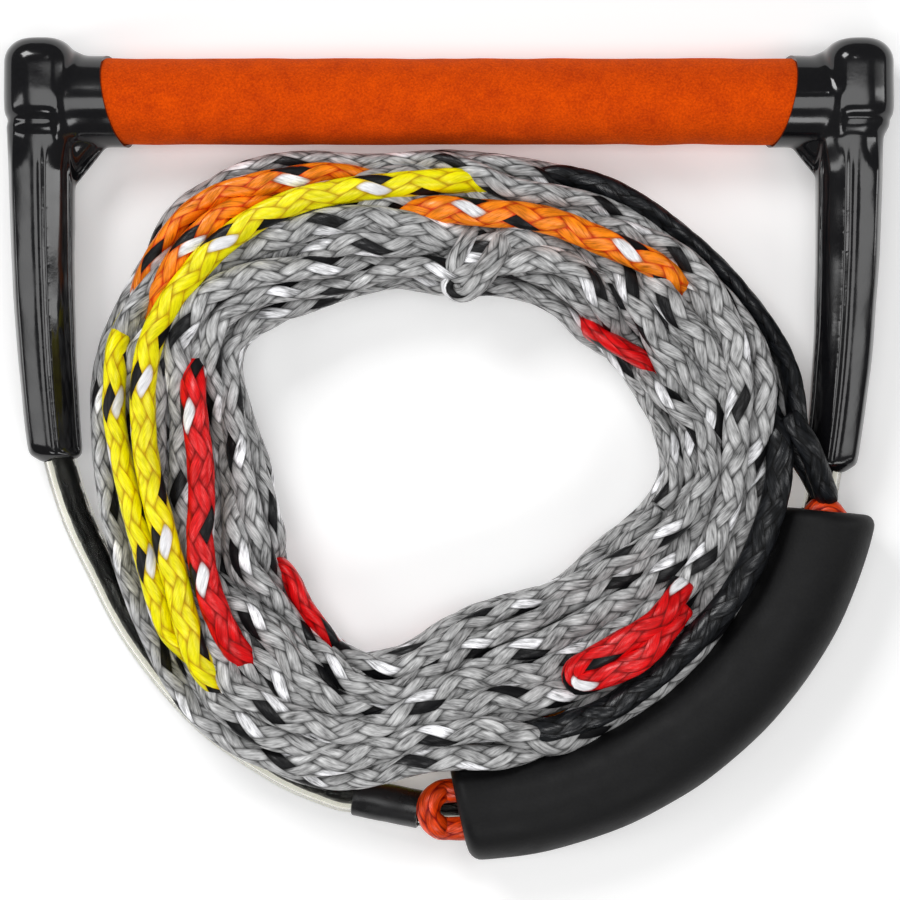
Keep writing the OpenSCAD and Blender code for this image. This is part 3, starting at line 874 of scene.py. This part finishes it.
# ---- Bend sleeve ----
# A short length of black rubber tube, shrunk over the ends of the two hoses at the bridle's bend.
rubber = grained(
    "sleeve_rubber", (0.014, 0.014, 0.015), (0.008, 0.008, 0.009), 0.5 * MM, 7 * MM, (0.22, 0.36), 0.03 * MM
)
sleeve_line = spline([sleeve_middle + sleeve_axis * along for along in (-SLEEVE_HALF, 0, SLEEVE_HALF)])
sleeve_shape = sweep(sleeve_line, tube_rows(2 * SLEEVE_HALF * MM, 7.2 * MM, 6.25 * MM, 0.6 * MM, 40), 48)
uneven(sleeve_shape, 7 * MM, 0.25 * MM)
add_piece("bend_sleeve", sleeve_shape, rubber, "apex_sleeve")

# ---- Float ----
# A moulded tube of closed-cell foam, bent to lie along the bridle, with a satin skin that is finely
# wrinkled. Its ends are cut a little aslant, and it slides on the rope inside it.
FLOAT_START = FLOAT_FROM + 1.3
FLOAT_SWEEP = 77.7
FLOAT_RADIUS = 19
FLOAT_BORE = 12.3
float_line = [
    Vector(on_bend(FLOAT_START + FLOAT_SWEEP * k / 90, 0, FLOAT_RADIUS)) * MM for k in range(91)
]
float_length = math.radians(FLOAT_SWEEP) * BEND_RADIUS * MM
float_shape = sweep(
    float_line,
    tube_rows(float_length, FLOAT_RADIUS * MM, FLOAT_BORE * MM, 4.2 * MM, 190, leans=(0.22, 0.12)), 128,
)
uneven(float_shape, 22 * MM, 0.35 * MM)
satin_foam = grained(
    "satin_foam", (0.007, 0.007, 0.0075), (0.004, 0.004, 0.0045), 1.1 * MM, 14 * MM, (0.48, 0.60), 0.08 * MM,
    Specular_IOR_Level=0.2,
)
add_piece("foam_float", float_shape, satin_foam, "float", body="float")

# ---- Tail loop ----
# An orange rope loop that runs through the float beside the bridle, with an eye at each end: the
# left eye lies over the bend, and the ski rope hitches to the right one.
TAIL_WIDTH = 8.6 * MM
TAIL_FROM = FLOAT_FROM - 0.5
TAIL_HALF = 4.4
TAIL_LEVEL = 25
EYE_HALF = 7
EYE_LEVEL = 21.6


def tail_point(angle, side):
    """A point of one strand of the tail, which opens and sinks towards the left eye."""
    share = ease((FLOAT_FROM + 13 - angle) / 9)
    out = TAIL_HALF + (EYE_HALF - TAIL_HALF) * share
    return on_bend(angle, side * out, TAIL_LEVEL + (EYE_LEVEL - TAIL_LEVEL) * share)


tail_angles = [TAIL_FROM + 6 * k for k in range(14)]
right_eye = np.array(on_bend(tail_angles[-1], -0.5, TAIL_LEVEL))
left_eye = np.array(on_bend(TAIL_FROM, 0, EYE_LEVEL))
tail_route = [tail_point(angle, 1) for angle in tail_angles[6:]]
for k in (45, 90, 135):
    turn = math.radians(k - 12)
    tail_route.append(right_eye + TAIL_HALF * np.array([math.cos(turn), math.sin(turn), 0]))
tail_route += [tail_point(angle, -1) for angle in reversed(tail_angles)]
for k in (30, 60, 90, 120, 150):
    c, s = math.cos(math.radians(k)), math.sin(math.radians(k))
    tail_route.append(left_eye + np.array([-EYE_HALF * s, EYE_HALF * c, 3 * s]))
tail_route += [tail_point(angle, 1) for angle in tail_angles[:7]]
orange_tail = rope_finish("orange_tail", (0.74, 0.055, 0.003), (0.32, 0.05, 0.02), fibre=1.2)
tail_mesh = rope_mesh("tail_loop", spline(tail_route), TAIL_WIDTH, TAIL_WIDTH, sides=24)
add_piece("orange_tail_loop", tail_mesh, orange_tail, "tail_loop")

# ---- Coiled rope ----
# Seventeen metres of rope, in sections of one colour each, is laid in a ring by hand. Each turn keeps
# its own place in the ring's section and slowly changes places with the others. A coloured turn
# shows on its lanes: it fades into each over LEAD degrees, from a depth of DIVE, and hides elsewhere.
STATIONS = 72
TURNS = 27
FILL = 8
ROPE_WIDTH = 10.0
ROPE_THICKNESS = 6.8
LEAD = 22
DIVE = 16
COLOURED_TO = 3300
HIDDEN_TOP = 20
ROUNDS = 420
PRESS = 0.32
PULL = 0.25
SINK = 0.04
SLACK = 14
OUTLINE_POWER = 2.6
coil_centre = (1, -7)
crown_height = 42
coil_near = [76, 72, 71, 66, 67, 65, 62, 68, 72, 78, 88, 75, 65, 64, 66, 71, 74, 67, 52, 49, 49, 52, 56, 67]
coil_far = [
    132, 135, 130, 126, 124, 120, 120, 122, 136, 145, 140, 141, 134, 132, 133, 136, 132, 127, 121, 117,
    121, 122, 125, 129,
]


def around(values, degrees):
    """A smooth closed curve through values that are spread evenly over a turn."""
    values = np.asarray(values, float)
    count = len(values)
    place = degrees % 360 * count / 360
    i = np.floor(place).astype(int)
    t = place - i
    return between(*(values[(i + k) % count] for k in (-1, 0, 1, 2)), t)


# The stations along the rope, and the middle and half size of the ring's section at each.
winding = np.arange(TURNS * STATIONS) * 360 / STATIONS
degrees = winding % 360
near = around(coil_near, degrees) + ROPE_WIDTH / 2
far = around(coil_far, degrees) - ROPE_WIDTH / 2
ring_middle, ring_half = (near + far) / 2, (far - near) / 2
low, high = ROPE_THICKNESS / 2, crown_height - ROPE_THICKNESS / 2
ring_level, ring_lift = (low + high) / 2, (high - low) / 2

# Where a coloured turn shows: its rank among its neighbours, and its winding angles with the distance
# from the coil's centre and the height there.
lanes = [
    # black, twice along the outer right edge
    (0, [(5, 128, 32), (12, 131.5, 29), (20, 132.5, 25), (34, 128, 22), (45, 123.5, 22), (54, 121, 25),
         (62, 120.5, 29), (70, 115, 30)]),
    (1, [(286, 104, 34), (296, 106, 36), (304, 107, 37), (315, 109, 38), (326, 112, 38), (342, 119, 38),
         (358, 122, 37), (366, 122, 33)]),
    # yellow, two neighbours down the left
    (1, [(806, 106, 34), (820, 109, 40), (839, 115, 41), (855, 121, 41), (866, 122, 41), (879, 122, 41),
         (887, 117, 41), (897, 114, 41), (910, 110, 41), (922, 111, 41), (933, 116, 39), (941, 118, 34)]),
    (1, [(1236, 132, 33), (1243, 132, 36), (1251, 128, 37), (1260, 124, 39), (1269, 121, 40), (1280, 119, 40),
         (1291, 120, 34)]),
    # orange, two neighbours at the upper left, and one across the top
    (1, [(1552, 115, 36), (1559, 123, 38), (1568, 134, 38), (1575, 137, 36), (1582, 137, 35),
         (1589, 131, 32)]),
    (1, [(1928, 122, 37), (1934, 127, 40), (1943, 127, 40), (1950, 124, 34)]),
    (1, [(2202, 108, 34), (2216, 100, 41), (2234, 98, 40), (2244, 94, 38), (2259, 96, 37)]),
    # red, on the left crown and twice down the hole's wall
    (1, [(2679, 103, 35), (2693, 92, 41), (2707, 91, 41), (2720, 98, 41), (2729, 100, 40), (2741, 105, 35)]),
    (1, [(3089, 73, 20), (3103, 72, 22), (3116, 75, 18)]),
    (1, [(3269, 82, 26), (3278, 76, 27), (3287, 71, 22)]),
]


def slots():
    """The places of the turns in the ring's section, from -1 to 1 across and up, in layers."""
    layers = [(-0.78, 5), (-0.40, 6), (-0.02, 6), (0.36, 6), (0.74, 5)]
    places = []
    for i, (up, count) in enumerate(layers):
        row = [(-0.86 + 1.72 * k / (count - 1), up) for k in range(count)]
        places += row if i % 2 == 0 else row[::-1]
    return np.array(places)


def ease_all(t):
    """A smooth step from 0 to 1, for an array."""
    t = np.clip(t, 0, 1)
    return t * t * (3 - 2 * t)


def first_places():
    """Distance and height of each station: a turn starts in its slot and moves over to the next one's."""
    draw = np.random.default_rng(11)
    place = slots()
    turn = winding / 360
    first = np.minimum(turn.astype(int), TURNS - 1)
    shift = ease_all((turn % 1 - 0.25) / 0.5)[:, None]
    slot = place[first] * (1 - shift) + place[first + 1] * shift
    for waves in (0.6, 1.1, 1.9):
        phase = draw.uniform(0, 2 * np.pi, (TURNS + 1, 2))[0]
        sway = np.sin(2 * np.pi * waves * turn[:, None] + phase)
        slot = slot + sway * draw.uniform(0.05, 0.12)
    return ring_middle + ring_half * slot[:, 0], ring_level + ring_lift * slot[:, 1]


def lane_places(r, z):
    """How strongly a lane pulls each station, its rank, and the distance and height it is pulled to."""
    pull, rank = np.zeros(len(r)), np.zeros(len(r))
    lane_r, lane_z = r.copy(), z.copy()
    for above, lane in lanes:
        at, out, up = np.array(lane, float).T
        led = (winding >= at[0] - LEAD) & (winding <= at[-1] + LEAD)
        past = np.maximum(at[0] - winding[led], winding[led] - at[-1]).clip(0) / LEAD
        lane_r[led] = np.interp(winding[led], at, out) * (1 - past) + ring_middle[led] * past
        lane_z[led] = np.interp(winding[led], at, up) * (1 - past) + DIVE * past
        pull[led] = 1 - 0.6 * past
        rank[led] = np.where(past > 0, -0.7, above)
    return pull, rank, lane_r, lane_z


def walls_beside():
    """What the rope lies against: where, at what distance and height, its radius, and how aslant."""
    theta = np.radians(degrees)
    bend_x, bend_y = bend_middle - coil_centre
    beside = -(bend_x * np.cos(theta) + bend_y * np.sin(theta))
    to_float = -beside + np.sqrt(beside ** 2 - bend_x ** 2 - bend_y ** 2 + BEND_RADIUS ** 2)
    over_float = (degrees > 258) | (degrees < 4)
    to_hose = 131 + 0.0022 * (232 - degrees) ** 2
    over_hose = (degrees > 186) & (degrees < 258)
    to_bar = (129.5 - coil_centre[1]) / np.maximum(np.sin(theta), 0.3)
    under_bar = (degrees > 45) & (degrees < 135)
    return [
        (over_float, to_float, 19.0, 19.6, 1.0),
        (over_hose, to_hose, 6.4, 6.6, 1.0),
        (under_bar, to_bar, 19.0, 16.6, np.sin(theta)),
    ]


def rolled(x, y):
    """The rope's roll at a place in the ring's section: its flat side follows the ring's outside."""
    out = ease_all((np.hypot(x, y) - 0.45) / 0.5)
    tangent = -np.arctan2(x, y)
    return 0.5 * np.arctan2(out * np.sin(2 * tangent), (1 - out) + out * np.cos(2 * tangent))


def pushes(r, z, roll, rank, both, grow):
    """How far the turns push each other apart, as ellipses, and lift the ones of a higher rank."""
    r, z, roll, rank = (values.reshape(TURNS, STATIONS) for values in (r, z, roll, rank))
    dr, dz = r[:, None] - r[None], z[:, None] - z[None]
    sines = np.sin(2 * roll[:, None]) + np.sin(2 * roll[None])
    cosines = np.cos(2 * roll[:, None]) + np.cos(2 * roll[None])
    mean = 0.5 * np.arctan2(sines, cosines)
    c, s = np.cos(mean), np.sin(mean)
    u, w = (dr * c + dz * s) / (ROPE_WIDTH * grow), (-dr * s + dz * c) / (ROPE_THICKNESS * grow)
    gap = np.sqrt(u * u + w * w) + 1e-6
    press = np.where(both & (gap < 1), (1 - gap) * PRESS, 0)
    push_r = press * (u / gap * c * ROPE_WIDTH - w / gap * s * ROPE_THICKNESS)
    push_z = press * (u / gap * s * ROPE_WIDTH + w / gap * c * ROPE_THICKNESS)
    order = rank[:, None] - rank[None]
    close = both & (np.abs(dr) < 0.85 * ROPE_WIDTH) & (np.abs(dz) < 1.6 * ROPE_THICKNESS)
    wrong = close & (order * (dz - np.sign(order) * ROPE_THICKNESS) < 0)
    lift = np.where(wrong, order * 0.35, 0)
    return push_r.sum(axis=1).ravel(), (push_z + lift).sum(axis=1).ravel()


def wind():
    """The distance from the centre, height and roll of the rope at every station of its turns."""
    r, z = first_places()
    pull, rank, lane_r, lane_z = lane_places(r, z)

    # Away from its lanes, a coloured turn stays low and well inside the ring.
    hidden = (winding < COLOURED_TO) & (pull == 0)
    rank[hidden] = -0.5
    z[hidden] = np.minimum(z[hidden], HIDDEN_TOP)
    core = np.clip((r - ring_middle) / ring_half, -0.45, 0.45) * ring_half + ring_middle
    r = np.where(pull > 0, lane_r, r)
    z = np.where(pull > 0, lane_z, z)
    walls = walls_beside()
    live = ((winding >= 5) & (winding <= TURNS * 360 - 10)).reshape(TURNS, STATIONS)
    both = live[:, None] & live[None] & ~np.eye(TURNS, dtype=bool)[:, :, None]
    for k in range(ROUNDS):
        grow = 0.55 + 0.45 * min(1, k / (0.6 * ROUNDS))
        roll = rolled((r - ring_middle) / ring_half, (z - ring_level) / ring_lift)
        push_r, push_z = pushes(r, z, roll, rank, both, grow)
        r = r + push_r
        z = z + push_z
        # the lane's own place
        r += pull * PULL * (lane_r - r)
        z += pull * PULL * (lane_z - z)
        z -= SINK * (pull == 0)
        r += hidden * 0.1 * (core - r)
        # stiffness along the rope
        for values in (r, z):
            bend = np.zeros(len(values))
            bend[2:-2] = values[:-4] - 4 * values[1:-3] + 6 * values[2:-2] - 4 * values[3:-1] + values[4:]
            values -= bend / SLACK
        # the hand-laid outline
        x, y = (r - ring_middle) / ring_half, (z - ring_level) / ring_lift
        size = (np.abs(x) ** OUTLINE_POWER + np.abs(y) ** OUTLINE_POWER) ** (1 / OUTLINE_POWER)
        back = np.where(size > 1, 1 / np.maximum(size, 1), 1)
        r = r + 0.5 * (ring_middle + ring_half * x * back - r)
        z = z + 0.5 * (ring_level + ring_lift * y * back - z)
        for there, wall_r, wall_z, radius, lean in walls:
            away_r, away_z = (r - wall_r) * lean, z - wall_z
            distance = np.hypot(away_r, away_z) + 1e-6
            need = radius + ROPE_THICKNESS / 2
            short = np.where(there & (distance < need), need - distance, 0)
            r = r + short * away_r / distance
            z = z + short * away_z / distance
        z = np.maximum(z, low)

    # The rope also turns over a little, and no part of it goes below the table.
    twist = np.cumsum(np.random.default_rng(5).normal(0, 1, len(r)))
    twist = np.convolve(twist - np.convolve(twist, np.ones(61) / 61, "same"), np.ones(9) / 9, "same")
    roll = 0.5 * np.unwrap(2 * roll) + np.radians(14) * twist / twist.std()
    reach = np.hypot(ROPE_WIDTH / 2 * np.sin(roll), ROPE_THICKNESS / 2 * np.cos(roll))
    z = np.maximum(z, reach + RELIEF / MM / 2)
    return r, z, roll


distance, height, roll = wind()


def fill_in(values, start, end):
    """Values on a smooth curve through the stations from one winding angle to another."""
    at = np.arange(start * STATIONS / 360, end * STATIONS / 360, 1 / FILL)
    i = np.clip(at.astype(int), 1, len(values) - 3)
    return between(*(values[i + k] for k in (-1, 0, 1, 2)), at - i)


def add_cord(name, line, width, thickness, rolls, finish, node):
    """A rope along a line, in metres; its sizes are in millimetres."""
    mesh = rope_mesh(name, line, width * MM, thickness * MM, rolls)
    piece = add_piece(name, mesh, finish, node)


def lay(name, start, end, finish, node):
    """One section of the rope, from one winding angle to another."""
    out, up, rolls = (fill_in(values, start, end) for values in (distance, height, roll))
    turn = np.radians(fill_in(winding, start, end))
    across, along = coil_centre[0] + out * np.cos(turn), coil_centre[1] + out * np.sin(turn)
    line = np.stack([across, along, up], axis=1) * MM
    add_cord(name, line, ROPE_WIDTH, ROPE_THICKNESS, rolls, finish, node)


ropes = {"black": black_rope}
# Each colour: its name, yarn colour, painted shade colour for the gaps between yarns, and fibre strength.
for colour, yarn, painted_shade, fibre in (
    ("grey", (0.43, 0.43, 0.43), (0.20, 0.20, 0.20), 1.5),
    ("yellow", (0.97, 0.88, 0.0), (0.62, 0.42, 0.0), 0.5),
    ("orange", (0.97, 0.25, 0.006), (0.60, 0.16, 0.03), 0.9),
    ("red", (0.74, 0.003, 0.005), (0.34, 0.02, 0.02), 0.8),
):
    ropes[colour] = rope_finish(colour + "_braid", yarn, painted_shade, tracers=1.0, fibre=fibre)
for colour, part, start, end, length in (
    ("black", "", 5, 760, 1.4),
    ("yellow", "", 760, 1374, 1.2),
    ("orange", "", 1374, 2300, 1.85),
    ("red", "", 2300, 3600, 2.2),
    ("grey", "_a", 3600, 5650, 3.5),
    ("grey", "_b", 5650, 7550, 3.6),
    ("grey", "_c", 7550, 9700, 3.6),
):
    slot = colour + "_rope"
    lay(slot + "_turns" + part, start, end, ropes[colour], colour + "_section" + part)

# ---- Loops ----
# The ends of the sections show where they leave the coil: the red section's spliced eye on the
# crown, the tow end's loop tucked in at the hole, and the first black loop hitched to the tail.


def loose_loop(name, points, width, thickness, rolls, finish, node):
    """A short loop of rope along given points, whose ends go back into the coil."""
    line = spline(points)
    rolls = np.interp(np.linspace(0, 1, len(line)), np.linspace(0, 1, len(rolls)), np.radians(rolls))
    add_cord(name, line, width, thickness, rolls, finish, node)


loose_loop(
    "red_spliced_eye",
    [(86, -49, 34), (80.5, -58, 40), (73, -65, 42), (64, -70, 42.5), (54, -76, 41), (46.5, -81, 37),
     (47.5, -85.5, 37), (57, -82.5, 41), (66, -79, 42.5), (73.5, -73.5, 42.5), (79.5, -66, 40),
     (86, -58, 34)],
    9, 6.5, (0, 0, 10, 0, -10, 0, 0), ropes["red"], "red_eye",
)
loose_loop(
    "tow_end_loop",
    [(24, 84, 29), (20, 77.5, 36), (15.8, 69.5, 39.5), (11, 62, 39), (5, 57.8, 36.5), (0.2, 60.2, 34.5),
     (1.6, 67.5, 35), (6, 75.5, 36), (11, 83, 29)],
    8.6, 6, (0, 5, 10, 45, 75, 60, 30), ropes["grey"], "boat_loop",
)
loose_loop(
    "hitch_loop_black",
    [(125, 12, 33), (130, 5, 36), (134, -3, 35.5), (137, -10.5, 32.5), (139, -15.5, 29), (139.5, -17.5, 26),
     (138, -15.5, 23.8), (134, -8.5, 23.8), (129, 0, 24), (124, 9, 25)],
    8.6, 7, (0, 0, 10, 0, 0), black_rope, "hitch_loop",
)
